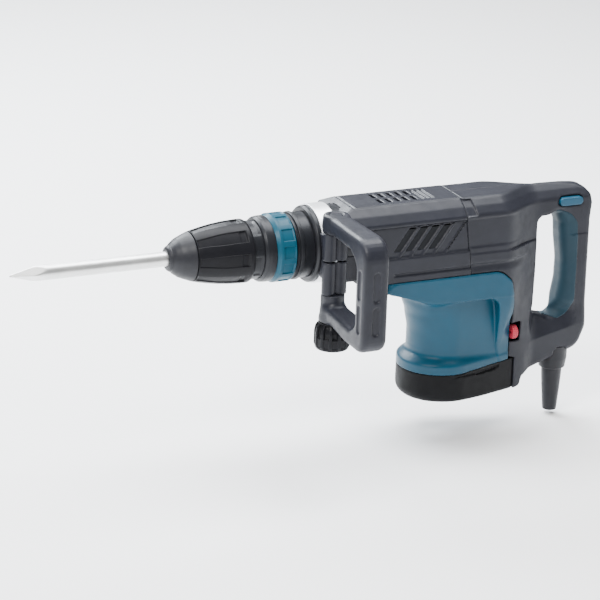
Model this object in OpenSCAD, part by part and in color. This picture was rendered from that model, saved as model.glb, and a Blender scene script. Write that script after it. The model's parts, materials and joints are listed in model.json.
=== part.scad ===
// Demolition hammer with an 18 mm quick-change tool holder, a swinging side
// handle, a crank-driven air-spring hammer mechanism and an upright motor.
// +X runs along the striking axis towards the rear, +Z is up, and the origin is the
// centre of the nose of the tool holder. Millimetres.

/* [Bit] */
// Radius of the bit's round shank
bit_r = 9; // [7:0.5:10]
// Length of the bit in front of the nose
bit_reach = 196; // [120:1:300]
// Length of the four-sided point
bit_point = 46; // [30:1:80]
// Length of the shank inside the tool holder
shank_in = 92; // [92:1:94]

/* [Chuck] */
// Largest radius of the release cover
cover_r = 38.5; // [38:0.1:40]
// Where the nose cap meets the release cover
cap_end = 30.6; // [29:0.1:32]
// Rear end of the release cover
cover_end = 101; // [100:0.5:102]
// Outside radius of the change ring
ring_r = 41.8; // [41:0.1:43]
// Number of grip pockets round the change ring
ring_pockets = 12; // [8:1:16]
// Radius of a locking ball
ball_r = 4; // [3.5:0.1:4.2]

/* [Barrel] */
// Radius of the barrel under the handle clamp
barrel_r = 46.5; // [45:0.1:47]
// Bore of the cylinder
bore_r = 17; // [16:0.1:17.5]

/* [Side handle] */
// Distance of the handle post from the striking axis
post_y = -62; // [-64:1:-61]
// Middle of the clamp along the striking axis
post_x = 192; // [190:0.5:193]
// Top of the side handle
grip_top = 55; // [50:1:58]
// Bottom of the side handle's loop
grip_low = -78; // [-80:1:-74]
// How far the loop reaches sideways from the post
grip_reach = 117; // [100:1:130]
// Radius of the clamp knob
knob_r = 22; // [20:0.5:22]

/* [Housing] */
// Half-width of the housing
body_half = 50; // [49:0.5:51]
// Top of the crank cover
roof_z = 46; // [44:0.5:48]
// Bottom of the base cover
foot_z = -212; // [-214:1:-208]
// Top of the base cover
base_z = -174; // [-178:1:-170]
// Rear end of the housing
rear_x = 566; // [564:1:568]
// Half-width of the rear handle
grip_half = 21; // [18:0.5:22]

/* [Drive] */
// Motor axis
motor_x = 378; // [377:0.5:379]
// Crank axis
crank_x = 330; // [329:0.5:331]
// Crank throw
throw = 16; // [12:1:16]
// Teeth of the pinion
pinion_teeth = 12; // [12:1:12]
// Teeth of the crank gear
gear_teeth = 60; // [60:1:60]

/* [Hidden] */
wall = 3;
fit = 0.05;
gap = 0.3;
throw_gap = 0.5;
gear_module = 2*(motor_x - crank_x)/(pinion_teeth + gear_teeth);
ball_x = 60;
slot_floor = 6.4;
ball_z = slot_floor + gap + ball_r;
neck_r = 35.3;
band_r = 48.2;
roof_end = 374.7;
seam_x = 375.3;
dial_y = -29.5;
dial_z = -134.5;
knob_low = -113;
$fn = 48;

/* Building blocks */
// Box between two corners
module block(low, high) { translate(low) cube(high - low); }
// Solid of revolution about the striking axis; points are [radius, x]
module turned(points) { rotate([0, 90, 0]) rotate_extrude() polygon(points); }
// Round bar or tube along X
module bar_x(x0, x1, r) { translate([x0, 0, 0]) rotate([0, 90, 0]) cylinder(h = x1 - x0, r = r); }
module tube_x(x0, x1, r, inner) {
    difference() {
        bar_x(x0, x1, r);
        bar_x(x0 - 1, x1 + 1, inner);
    }
}
// Round bar or tube along Z at x, y
module bar_z(at, z0, z1, r) { translate([at[0], at[1], z0]) cylinder(h = z1 - z0, r = r); }
module tube_z(at, z0, z1, r, inner) {
    difference() {
        bar_z(at, z0, z1, r);
        bar_z(at, z0 - 1, z1 + 1, inner);
    }
}
// Side outline of [x, z] points, drawn out from y0 to y1
module slab(points, y0, y1) {
    translate([0, y1, 0]) rotate([90, 0, 0]) linear_extrude(y1 - y0) polygon(points);
}
// Spur gear outline with straight-flanked teeth and open backlash
function gear_tooth(z, m, i) = let(
        pitch = 360/z, mid = i*pitch, rp = m*z/2,
        root = rp - 1.15*m, tip = rp + 0.85*m,
        wide = pitch*0.29, narrow = pitch*0.13)
    [for (p = [[root, -wide], [tip, -narrow], [tip, narrow], [root, wide]])
        p[0]*[cos(mid + p[1]), sin(mid + p[1])]];
module gear_plate(z, m, turn, height) {
    linear_extrude(height) rotate(turn)
        polygon([for (i = [0:z - 1]) each gear_tooth(z, m, i)]);
}
// Wire centre line of a compression spring along X, and its swept tube
function coil_point(t, turns, r, x0, pitch) =
    [x0 + pitch*t*turns, r*cos(360*t*turns), r*sin(360*t*turns)];
module coil(turns, r, wire, x0, pitch, steps) {
    sides = 6;
    points = [for (i = [0:steps], k = [0:sides - 1]) let(
            c = coil_point(i/steps, turns, r, x0, pitch), a = 360*i*turns/steps,
            b = 360*k/sides, out = [0, cos(a), sin(a)])
        c + wire*(cos(b)*out + [sin(b), 0, 0])];
    ends = [[for (k = [0:sides - 1]) k], [for (k = [sides - 1:-1:0]) steps*sides + k]];
    sides_faces = [for (i = [0:steps - 1], k = [0:sides - 1]) let(n = (k + 1)%sides)
        [i*sides + n, i*sides + k, (i + 1)*sides + k, (i + 1)*sides + n]];
    polyhedron(points, concat(ends, sides_faces));
}

/* Bit and chuck */
module chisel() {
    color("silver") difference() {
        union() {
            bar_x(bit_point - bit_reach, shank_in, bit_r);
            intersection() {
                bar_x(-bit_reach, bit_point - bit_reach + 0.01, bit_r);
                translate([-bit_reach, 0, 0]) rotate([0, 90, 0])
                    rotate(45) cylinder(h = bit_point + 1, r1 = 1.2, r2 = 14, $fn = 4);
            }
        }
        for (s = [-1, 1]) block([ball_x - 4.5, -4.3, s > 0 ? slot_floor : -bit_r - 1],
            [ball_x + 19, 4.3, s > 0 ? bit_r + 1 : -slot_floor]);
    }
}
module nose_cap() {
    color("#26282c") turned([[bit_r + 0.3, 0], [11, 0], [13.6, 1.2], [15.7, 3], [18, 6.4],
        [20.9, 10], [23.5, 14], [25.8, 19.5], [27.8, 26], [29, 29.5], [28.6, cap_end - 0.05],
        [20.5, cap_end - 0.05], [20.5, 24], [15, 16], [14.2, 10], [bit_r + 0.3, 6.5]]);
}
// Long shallow finger recess that follows the cover's taper
module finger_recess(angle) {
    rotate([angle, 0, 0]) translate([29, 0, 44]) rotate([0, 83.4, 0])
        cylinder(h = 63, r = 15);
}
module release_cover() {
    color("#26282c") difference() {
        turned([[20, cap_end], [30.8, cap_end + 0.5], [32.2, 37], [34, 48], [35.9, 62],
            [37, 67], [38, 83], [cover_r, 98], [cover_r - 0.8, cover_end],
            [neck_r + 0.35, cover_end], [neck_r + 0.35, 91], [22.2, 91], [22.2, 68],
            [14.1, 68], [14.1, 62.7], [19.7, 50], [20, 49]]);
        for (a = [22.5:45:359]) finger_recess(a);
    }
}
module cover_spring() {
    color("silver") coil(turns = 5, r = 18.6, wire = 1.2, x0 = 69.6, pitch = 4.7, steps = 70);
}
module tool_holder() {
    color("gray") difference() {
        turned([[11, 15.6], [13.8, 17.8], [13.8, 95], [21.5, 95], [21.5, 166], [14.3, 166],
            [14.3, 124], [10.05, 124], [10.05, 104], [bit_r + fit, 104], [bit_r + fit, 15.6]]);
        for (s = [-1, 1]) bar_z([ball_x, 0], s > 0 ? 5 : -20, s > 0 ? 20 : -5, ball_r + 0.08);
    }
}
module locking_ball(side) {
    color("silver") translate([ball_x, 0, side*ball_z]) sphere(r = ball_r);
}
module locking_ball_top() { locking_ball(1); }
module locking_ball_bottom() { locking_ball(-1); }
module neck_sleeve() {
    color("#303238") turned([[21.5, 99], [neck_r, 99], [neck_r, 128], [29.8, 128],
        [29.8, 176], [21.5, 176]]);
}
module ring_flange() {
    color("#3a3c42") turned([[neck_r + fit, 113.5], [38.3, 113.5], [40, 115.5], [40, 127],
        [38.6, 128], [neck_r + fit, 128]]);
}
module change_ring() {
    color("#5f9fb4") difference() {
        turned([[neck_r + fit, 128], [39, 128], [ring_r, 132], [ring_r, 152],
            [ring_r - 0.8, 152.8], [29.8 + fit, 152.8], [29.8 + fit, 134], [neck_r + fit, 134]]);
        for (i = [0:ring_pockets - 1]) rotate([(i + 0.5)*360/ring_pockets, 0, 0])
            block([135, -7, ring_r - 1.6], [149, 7, ring_r + 3]);
    }
}
module holder_seal() {
    color("#1c1c1e") tube_x(168, 174, 33.5, 29.8 + fit);
}
module barrel_collar() {
    color("#26282c") turned([[29.8 + fit, 155], [38.5, 155], [38.5, 158], [41.5, 158.6],
        [41.5, 163], [40, 163.6], [40, 177], [33.5, 177], [33.5, 168], [29.8 + fit, 168]]);
}
module barrel() {
    color("#2a2c31") difference() {
        turned([[21, 177], [40, 177], [barrel_r, 183], [barrel_r, 207.5], [44, 207.5],
            [44, 232], [21, 232]]);
        for (a = [45:90:359]) rotate([a, 0, 0]) translate([177, 0, 37]) rotate([0, 90, 0])
            cylinder(h = 60, r = 3.2);
    }
}
module barrel_screws() {
    color("silver") for (a = [45:90:359]) rotate([a, 0, 0]) translate([0, 0, 37])
        rotate([0, 90, 0]) translate([0, 0, 178]) difference() {
            cylinder(h = 53, r = 3);
            translate([0, 0, -1]) cylinder(h = 4, r = 1.8, $fn = 6);
        }
}

/* Side handle */
module clamp_band() {
    color("#b9bcc2") difference() {
        tube_x(post_x - 11, post_x + 11, band_r, barrel_r + fit);
        block([post_x - 12, -60, -12], [post_x + 12, -20, 10]);
    }
}
// Two rounded lobes of the post, side by side along X
module post(z0, z1, r) {
    for (s = [-1, 1]) bar_z([post_x + s*6.6, post_y], z0, z1, r);
    block([post_x - 6.6, post_y - r + 1.4, z0], [post_x + 6.6, post_y + r - 1.4, z1]);
}
module upper_clamp_jaw() {
    color("#2a2c31") difference() {
        union() {
            post(-2, 32, 8.2);
            block([post_x - 10, post_y, -2], [post_x + 10, -38, 24]);
        }
        bar_x(post_x - 30, post_x + 30, band_r);
        bar_z([post_x, post_y], -10, 40, 4.2);
    }
}
module lower_clamp_jaw() {
    color("#2a2c31") difference() {
        union() {
            post(-44.5, -6, 8.2);
            block([post_x - 10, post_y, -26], [post_x + 10, -38, -6]);
        }
        bar_x(post_x - 30, post_x + 30, band_r);
        bar_z([post_x, post_y], -50, 0, 4.2);
    }
}
// Side outline of the loop: two arms and the bar that joins them, as [y, z] points
function loop_frame(far, bar) = [[post_y, grip_top], [far + 14, grip_top],
    [far + 5, grip_top - 3], [far, grip_top - 12], [far, grip_low + 5],
    [far + 5, grip_low - 4], [far + 14, grip_low - 7], [post_y - 44, grip_low - 5],
    [post_y - 24, grip_low], [post_y, grip_low], [post_y, grip_low + 22],
    [far + bar + 8, grip_low + 22], [far + bar, grip_low + 30], [far + bar, grip_top - 34],
    [far + bar + 8, grip_top - 26], [far + bar + 20, grip_top - 22], [post_y, grip_top - 22]];
module side_grip() {
    color("#2f3136") difference() {
        union() {
            rotate([90, 0, 90]) translate([0, 0, post_x - 15]) linear_extrude(30)
                polygon(loop_frame(post_y - grip_reach, 28));
            bar_z([post_x, post_y], grip_top - 22.7, grip_top, 15.5);
            bar_z([post_x, post_y], grip_low, -44.8, 15.5);
        }
        bar_z([post_x, post_y], grip_low - 1, grip_top - 4, 4.2);
        bar_z([post_x, post_y], grip_top - 10, grip_top + 1, 8);
    }
}
module clamp_bolt() {
    color("silver") {
        bar_z([post_x, post_y], -92, 45.2, 4.1);
        bar_z([post_x, post_y], 45.2, 50, 7.5, $fn = 6);
    }
}
module clamp_knob() {
    color("#2a2c31") difference() {
        bar_z([post_x, post_y], knob_low, grip_low - gap, knob_r);
        for (a = [0:30:359]) translate([post_x, post_y, 0]) rotate(a)
            bar_z([knob_r + 1.5, 0], knob_low + 4, -84, 3.4);
        bar_z([post_x, post_y], -95, grip_low + 1, 4.1 + fit);
    }
}

/* Housing */
function roof_outline(inset) = [[208.5 + inset, -26], [212 + inset, -30], [228 + inset, inset - body_half],
    [roof_end, inset - body_half], [roof_end, body_half - inset], [228 + inset, body_half - inset],
    [212 + inset, 30], [208.5 + inset, 26]];
module roof_section(inset) {
    rotate([90, 0, 90]) translate([0, 0, 200]) linear_extrude(180)
        polygon([[inset - body_half, 24.5 + inset], [inset - body_half, 27], [-34, 42.5],
            [-28, roof_z - inset], [28, roof_z - inset], [34, 42.5], [body_half - inset, 27],
            [body_half - inset, 24.5 + inset]]);
}
module top_cover() {
    color("#2b2d32") difference() {
        intersection() {
            translate([0, 0, 20]) linear_extrude(30) polygon(roof_outline(0));
            roof_section(0);
        }
        block([236, -32, 20], [roof_end - wall, 32, roof_z - wall]);
        block([236, -44, 20], [roof_end - wall, 44, 30]);
        bar_x(200, 236.1, 44 + fit);
        for (i = [0:7], s = [-1, 1]) block([262 + i*9.5, s > 0 ? 2.5 : -17, 30],
            [267 + i*9.5, s > 0 ? 17 : -2.5, roof_z + 1]);
    }
}
module crank_cover() {
    color("#292b30") difference() {
        union() {
            block([228, -body_half, -46], [382, body_half, 24.3]);
            block([212, -44, -40], [229, 44, 24.3]);
            block([262, -46, -62], [300, 46, -45]);
            block([262, -48.5, -50], [265, 48.5, -44.2]);
        }
        block([231.5, wall - body_half, -47], [383, body_half - wall, 25]);
        block([265, -43, -63], [310, 43, -44]);
        slab([[roof_end, 25], [382.5, -47], [390, -47], [390, 25]], -60, 60);
        bar_x(200, 240, 44 + fit);
        for (i = [0:4], s = [-1, 1]) multmatrix([[1, 0, 0.35, 0], [0, 1, 0, 0], [0, 0, 1, 0],
                [0, 0, 0, 1]])
            block([292 + i*15, s > 0 ? 40 : -60, -10], [297 + i*15, s > 0 ? 60 : -40, 16]);
    }
}
module gear_housing() {
    color("#8d9094") difference() {
        union() {
            block([232.3, -46.5, -44], [391.5, 46.5, 20]);
            block([312, -43, -66], [402, 43, -43]);
        }
        block([288, -43, -41.5], [388, 43, 17]);
        block([300, -24, 14], [380, 24, 21]);
        bar_x(230, 290, 21);
        bar_z([crank_x, 0], -62, -40, 16);
        bar_z([crank_x, 0], -70, -40, 9);
        bar_z([motor_x, 0], -62, -40, 15);
        bar_z([motor_x, 0], -70, -40, 9);
        for (a = [45:90:359]) rotate([a, 0, 0]) translate([231, 0, 37]) rotate([0, 90, 0])
            cylinder(h = 12, r = 3);
    }
}
// Teardrop plan of the motor end: a big round front and a small round back
module teardrop(big_x, big_r, tail_x, tail_r, z0, z1) {
    hull() {
        bar_z([big_x, 0], z0, z1, big_r, $fn = 32);
        bar_z([tail_x, 0], z0, z1, tail_r, $fn = 32);
    }
}
module foot_plan(inset, z0, z1) { teardrop(368, 52 - inset, 446, 30 - inset, z0, z1); }
module waist_plan(inset, z0, z1) { teardrop(370, 44 - inset, 420, 36 - inset, z0, z1); }
// Round foot, narrow waist, the widening under the flange and the upright behind the waist
module motor_shape(inset) {
    foot_plan(inset, base_z + (inset > 0 ? -1 : 0), -162);
    hull() {
        foot_plan(inset, -163, -162);
        waist_plan(inset, -151, -150);
    }
    waist_plan(inset, -150.5, -99.5);
    hull() {
        waist_plan(inset, -101, -100);
        block([304 + inset, inset - 46, -82], [440 - inset, 46 - inset, -80]);
    }
    hull() {
        block([426 + inset, inset - 49, -84], [443 - inset, 49 - inset, -80]);
        block([430 + inset, inset - 37, -164], [452, 37 - inset, -162.5]);
    }
}
module motor_housing() {
    color("#3f7a8f") difference() {
        union() {
            motor_shape(0);
            slab([[275, -46.3], [272, -62], [306, -72], [306, -82], [443, -82], [439.5, -62.5],
                [421.5, -46.3]], -51, 51);
        }
        motor_shape(wall);
        block([260, -47, -83], [437, 47, -40]);
        block([450.5, -60, -180], [480, 60, -60]);
    }
}
module base_cover() {
    color("#26282c") difference() {
        foot_plan(0, foot_z, base_z - 0.2);
        difference() {
            foot_plan(wall, foot_z + 4, base_z + 1);
            tube_z([motor_x, 0], foot_z, -197, 16, 13);
        }
        block([459.7, -60, foot_z - 1], [480, 60, base_z + 1]);
        for (s = [-1, 1]) bar_z([352, s*36], foot_z - 1, foot_z + 5, 3);
    }
}
function rear_outline() = [[seam_x, roof_z], [470, roof_z], [500, 44.5], [527, 42.3], [547, 39.5],
    [556, 36], [rear_x - 2.5, 29], [rear_x, 20], [rear_x - 2.5, 1], [rear_x - 2.5, -103],
    [rear_x - 0.5, -148], [rear_x - 6, -166], [547, -183], [520, -191], [490, -195],
    [475, -200], [466, -210], [460, -211], [460, -168], [453, -166], [451, -101], [451, -92],
    [446, -84], [440.3, -62], [422, -46], [383, -46], [seam_x, 24.5]];
function loop_outline() = [[490, 2], [496, 7], [520, 7], [527, 1], [529, -30], [529, -100],
    [525, -117], [518, -123], [494, -119], [489, -112]];
module rear_shell(side) {
    y0 = side > 0 ? 0.05 : -grip_half;
    y1 = side > 0 ? grip_half : -0.05;
    color("#26282c") difference() {
        union() {
            difference() {
                slab(rear_outline(), y0, y1);
                slab(loop_outline(), -60, 60);
            }
            intersection() {
                rotate([90, 0, 90]) linear_extrude(600) polygon([[-body_half, -300],
                    [body_half, -300], [body_half, 27], [34, 42.5], [28, roof_z], [-28, roof_z],
                    [-34, 42.5], [-body_half, 27]]);
                slab([[seam_x, roof_z], [470, roof_z], [488, 45], [488, -195], [475, -200],
                    [466, -210], [460, -211], [460, -168], [453, -166], [451, -101], [451, -92], [446, -84],
                    [440.3, -62], [422, -46], [383, -46], [seam_x, 24.5]],
                    side > 0 ? 0.05 : -60, side > 0 ? 60 : -0.05);
                linear_extrude(600, center = true) polygon([[350, -body_half], [430, -body_half],
                    [474, -36], [488, -grip_half], [488, grip_half], [474, 36],
                    [430, body_half], [350, body_half]]);
            }
        }
        block([370, side > 0 ? -1 : -46.8, -47], [404, side > 0 ? 46.8 : 1, 22]);
        block([370, side > 0 ? -1 : -44, -42], [440, side > 0 ? 44 : 1, 28]);
        block([370, side > 0 ? -1 : -34, -42], [472, side > 0 ? 34 : 1, 38]);
        block([456, side > 0 ? -1 : -26, -160], [478, side > 0 ? 26 : 1, -44]);
        block([532, side > 0 ? -1 : -14, -120], [rear_x - 7, side > 0 ? 14 : 1, 30]);
        block([470, side > 0 ? -1 : -15, -172], [552, side > 0 ? 15 : 1, -150]);
        bar_z([530, 0], -220, -160, 9.2);
        bar_z([530, 0], -230, -184, 14.8);
        if (side > 0) for (x = [396, 436], z = [-30, 30]) translate([x, 40, z]) rotate([-90, 0, 0])
            cylinder(h = 30, r = 4.1);
        block([516, -30, 19], [549, 30, 30]);
        block([450, -60, -148], [466.5, -16, -122]);
        block([440, side > 0 ? 29 : -60, -220], [500, side > 0 ? 60 : -29, -158]);
    }
}
module rear_handle_left() { rear_shell(-1); }
module rear_handle_right() { rear_shell(1); }
module soft_grip() {
    color("#3f7a8f") difference() {
        slab([[519, 12], [546, 12], [548, 0], [546, -60], [548, -118], [545, -128], [524, -128],
            [520, -122], [525.5, -112], [527, -60], [525.5, -2]], -grip_half - 1.5, grip_half + 1.5);
        slab([[515, 13], [550, 13], [550, -129], [515, -129], [515, -122.8], [518, -123],
            [525, -117], [529, -100], [529, -30], [527, 1], [520, 7], [515, 7]],
            -grip_half - gap/6, grip_half + gap/6);
    }
}
module switch_lever() {
    color("#3f7a8f") block([516.4, -grip_half - 7, 19.5], [548.6, grip_half + 1, 29.5]);
}
module switch_body() {
    color("#333333") block([534, -12, -6], [rear_x - 9, 12, 17.5]);
}
module speed_dial() {
    color("#c8404c") difference() {
        translate([0, dial_y, dial_z]) bar_x(452, 459.5, 12);
        translate([0, dial_y, dial_z]) bar_x(451, 461, 2.05);
    }
}
module speed_controller() {
    color("#3c6e46") {
        block([458, -12, -120], [476, 20, -60]);
        block([458, -4, -122], [462, 20, -118]);
    }
}
module cord_guard() {
    color("#232529") translate([530, 0, 0]) difference() {
        rotate_extrude() polygon([[0, -168], [9, -168], [9, -186], [13.5, -186],
            [14.5, -196], [11.5, -203], [10, -225], [7.8, -256], [0, -256]]);
        translate([0, 0, -257]) cylinder(h = 100, r = 5);
    }
}
module cord_clamp() {
    color("#333333") difference() {
        block([516, -13, -163], [544, 13, -152]);
        bar_z([530, 0], -170, -150, 5);
        for (s = [-1, 1]) bar_z([530, s*9.5], -170, -150, 1.6);
    }
}
module terminal_block() {
    color("white") difference() {
        block([484, -12, -166], [508, 12, -154]);
        for (i = [-1:1]) bar_z([496, i*7], -160, -150, 2);
    }
}

/* Motor */
module stator_core() {
    color("#777777") difference() {
        bar_z([motor_x, 0], -146, -96, 37);
        bar_z([motor_x, 0], -147, -95, 27);
        for (s = [-1, 1]) block([motor_x - 31, s > 0 ? 12 : -31, -147],
            [motor_x + 31, s > 0 ? 31 : -12, -95]);
    }
}
module field_windings() {
    color("#a8552b") for (s = [-1, 1]) difference() {
        block([motor_x - 30, s > 0 ? 13 : -30, -154], [motor_x + 30, s > 0 ? 30 : -13, -88]);
        bar_z([motor_x, 0], -160, -80, 28.5);
    }
}
module armature_shaft() {
    color("silver") {
        bar_z([motor_x, 0], -204, -43, 6);
        translate([motor_x, 0, -43.5]) gear_plate(pinion_teeth, gear_module, 180/pinion_teeth, 15);
    }
}
module armature_core() {
    color("#6b6e72") difference() {
        bar_z([motor_x, 0], -150, -92, 26);
        bar_z([motor_x, 0], -151, -91, 6);
        for (a = [0:30:359]) translate([motor_x, 0, 0]) rotate(a)
            block([23, -1.5, -151], [28, 1.5, -91]);
    }
}
module commutator() {
    color("#b0703c") difference() {
        bar_z([motor_x, 0], -180, -158, 16);
        bar_z([motor_x, 0], -181, -157, 6);
        for (a = [0:20:359]) translate([motor_x, 0, 0]) rotate(a)
            block([14.5, -0.4, -181], [17, 0.4, -157]);
    }
}
module cooling_fan() {
    color("#404448") difference() {
        union() {
            bar_z([motor_x, 0], -86, -83.5, 31);
            bar_z([motor_x, 0], -86, -72, 11);
            for (a = [0:30:359]) translate([motor_x, 0, 0]) rotate(a)
                block([9, -0.8, -85], [30, 0.8, -72]);
        }
        bar_z([motor_x, 0], -87, -70, 6);
    }
}
module fan_baffle() {
    color("#333333") difference() {
        bar_z([motor_x, 0], -90.5, -88.5, 37);
        bar_z([motor_x, 0], -92, -87, 26);
        for (s = [-1, 1]) block([motor_x - 31, s > 0 ? 12 : -31, -92],
            [motor_x + 31, s > 0 ? 31 : -12, -87]);
    }
}
// Ball bearing as two rings, balls and a shield
module bearing(at, z0, z1, outer, inner) {
    mid = (outer + inner)/2;
    color("silver") {
        tube_z(at, z0, z1, outer, mid + 1.2);
        tube_z(at, z0, z1, mid - 1.2, inner);
        tube_z(at, (z0 + z1)/2 - 1.5, (z0 + z1)/2 + 1.5, mid + 1.3, mid - 1.3);
    }
}
module upper_motor_bearing() { bearing([motor_x, 0], -62, -52, 15, 6 + fit); }
module lower_motor_bearing() { bearing([motor_x, 0], -204, -195, 13, 6 + fit); }
module crank_bearing() { bearing([crank_x, 0], -62, -50, 16, 8 + fit); }
module brush_holder(side) {
    color("#c9a24a") mirror([0, side > 0 ? 0 : 1, 0]) difference() {
        block([motor_x - 8, 19, -176], [motor_x + 8, 42, -162]);
        block([motor_x - 5, 18, -173], [motor_x + 5, 40, -165]);
    }
}
module brush_holder_left() { brush_holder(-1); }
module brush_holder_right() { brush_holder(1); }
module carbon_brush(side) {
    color("#222222") mirror([0, side > 0 ? 0 : 1, 0])
        block([motor_x - 4.8, 16.6, -172.8], [motor_x + 4.8, 34, -165.2]);
}
module carbon_brush_left() { carbon_brush(-1); }
module carbon_brush_right() { carbon_brush(1); }

/* Hammer mechanism */
module crank_gear() {
    color("#9a9da1") difference() {
        translate([crank_x, 0, -39.5]) gear_plate(gear_teeth, gear_module, 0, 9);
        bar_z([crank_x, 0], -41, -29, 8);
    }
}
module crankshaft() {
    color("#85888c") {
        bar_z([crank_x, 0], -64, -24, 8);
        bar_z([crank_x, 0], -24, -13, 26);
        bar_z([crank_x - throw, 0], -13, -6 - throw_gap, 7);
    }
}
module connecting_rod() {
    color("#b5b8bc") difference() {
        union() {
            bar_z([crank_x - throw, 0], -6, 6, 13);
            block([238, -6, -5], [crank_x - throw, 6, 5]);
            bar_z([238, 0], -6, 6, 9);
        }
        bar_z([crank_x - throw, 0], -7, 7, 7.05);
        bar_z([238, 0], -7, 7, 5);
    }
}
module wrist_pin() { color("silver") bar_z([238, 0], -14, 14, 5); }
module piston() {
    color("#a4a7ab") difference() {
        bar_x(222, 252, bore_r - fit);
        block([228, -10, -6.5], [253, 10, 6.5]);
        bar_z([238, 0], -20, 20, 5);
        tube_x(224, 227, 20, 15);
    }
}
module piston_ring() { color("#1c1c1e") tube_x(224.2, 226.8, bore_r - fit, 15); }
module cylinder_sleeve() {
    color("#b0b3b7") difference() {
        tube_x(170, 287, 21, bore_r);
        for (a = [30:60:359]) rotate([a, 0, 0]) bar_z([214, 0], 10, 30, 1.5);
    }
}
module striker() {
    color("#7d8084") difference() {
        union() {
            bar_x(172, 182, 11);
            bar_x(181, 208, bore_r - fit);
        }
        tube_x(198, 201, 20, 15);
    }
}
module impact_bolt() {
    color("#85888c") {
        bar_x(93.5, 121, bit_r - fit);
        bar_x(120, 141, 10);
        bar_x(140, 156, 14);
        bar_x(155, 165, 10);
    }
}
module housing_screws() {
    color("silver") {
        for (x = [396, 436], z = [-30, 30]) translate([x, 42, z]) rotate([-90, 0, 0])
            difference() {
                cylinder(h = 4, r = 4);
                translate([0, 0, 1.5]) cylinder(h = 3, r = 1.8, $fn = 6);
            }
        for (s = [-1, 1]) bar_z([352, s*36], foot_z + 1, foot_z + 30, 2.9);
    }
}

chisel();
nose_cap();
release_cover();
cover_spring();
tool_holder();
locking_ball_top();
locking_ball_bottom();
neck_sleeve();
change_ring();
ring_flange();
holder_seal();
barrel_collar();
barrel();
clamp_band();
upper_clamp_jaw();
lower_clamp_jaw();
side_grip();
clamp_bolt();
clamp_knob();
top_cover();
crank_cover();
gear_housing();
motor_housing();
base_cover();
rear_handle_left();
rear_handle_right();
soft_grip();
switch_lever();
switch_body();
speed_dial();
speed_controller();
cord_guard();
cord_clamp();
terminal_block();
stator_core();
field_windings();
armature_shaft();
armature_core();
commutator();
cooling_fan();
fan_baffle();
upper_motor_bearing();
lower_motor_bearing();
brush_holder_left();
brush_holder_right();
carbon_brush_left();
carbon_brush_right();
crank_gear();
crankshaft();
crank_bearing();
connecting_rod();
wrist_pin();
piston();
piston_ring();
cylinder_sleeve();
striker();
impact_bolt();
housing_screws();
barrel_screws();
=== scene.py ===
import json
import math

import bpy
import numpy as np
from mathutils import Matrix, Vector


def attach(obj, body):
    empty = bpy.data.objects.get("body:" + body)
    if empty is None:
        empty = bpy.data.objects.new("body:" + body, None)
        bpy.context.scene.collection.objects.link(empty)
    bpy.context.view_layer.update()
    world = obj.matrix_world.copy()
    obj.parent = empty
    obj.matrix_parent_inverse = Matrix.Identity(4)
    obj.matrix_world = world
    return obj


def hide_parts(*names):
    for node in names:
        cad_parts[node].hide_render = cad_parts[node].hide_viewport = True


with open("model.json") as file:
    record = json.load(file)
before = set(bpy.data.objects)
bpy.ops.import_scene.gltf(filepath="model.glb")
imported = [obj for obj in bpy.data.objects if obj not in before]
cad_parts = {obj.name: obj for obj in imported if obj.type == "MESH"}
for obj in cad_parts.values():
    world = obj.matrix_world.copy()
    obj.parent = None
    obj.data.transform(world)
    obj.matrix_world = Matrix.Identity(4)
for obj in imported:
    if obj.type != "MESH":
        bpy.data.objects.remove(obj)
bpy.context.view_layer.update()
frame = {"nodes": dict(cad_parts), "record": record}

MM = 0.001

# The photograph's view of the object: where the camera stands and what it looks at.
VIEW_TURN = math.radians(-25.12)
VIEW_RISE = math.radians(18.99)
VIEW_ROLL = math.radians(1.93)
VIEW_DISTANCE = 4.2422
VIEW_TARGET = Vector((0.17708, 0.0, -0.07136))
VIEW_LENS = 210.6

# Places on the hammer, in millimetres.
BARREL_R = 46.5
COVER_POCKETS = 8
RING_POCKETS = 12
POST_X = 192.0
POST_Y = -62.0
GRIP_TOP = 55.0
GRIP_LOW = -78.0
KNOB_FLUTES = 12
ROOF_Z = 47.4
FOOT_Z = -212.0
BASE_Z = -174.0
GUARD_X = 530.0
DIAL_AT = (0.0, -29.5, -134.5)
DIAL_R = 8.8
DIAL_RIDGES = 18
FLOOR_Z = -0.262


# ---------------------------------------------------------------- distance fields
def outline(points, u, v):
    """Signed distance to a closed outline; negative inside."""
    u, v = np.broadcast_arrays(u, v)
    best = np.full(u.shape, 1e9)
    inside = np.zeros(u.shape, bool)
    for (au, av), (bu, bv) in zip(points, points[1:] + points[:1]):
        du, dv = bu - au, bv - av
        t = np.clip(((u - au)*du + (v - av)*dv)/(du*du + dv*dv + 1e-12), 0, 1)
        best = np.minimum(best, (u - au - t*du)**2 + (v - av - t*dv)**2)
        if dv:
            crosses = (av > v) != (bv > v)
            inside ^= crosses & (u < au + (v - av)*du/dv)
    return np.where(inside, -1, 1)*np.sqrt(best)


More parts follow.
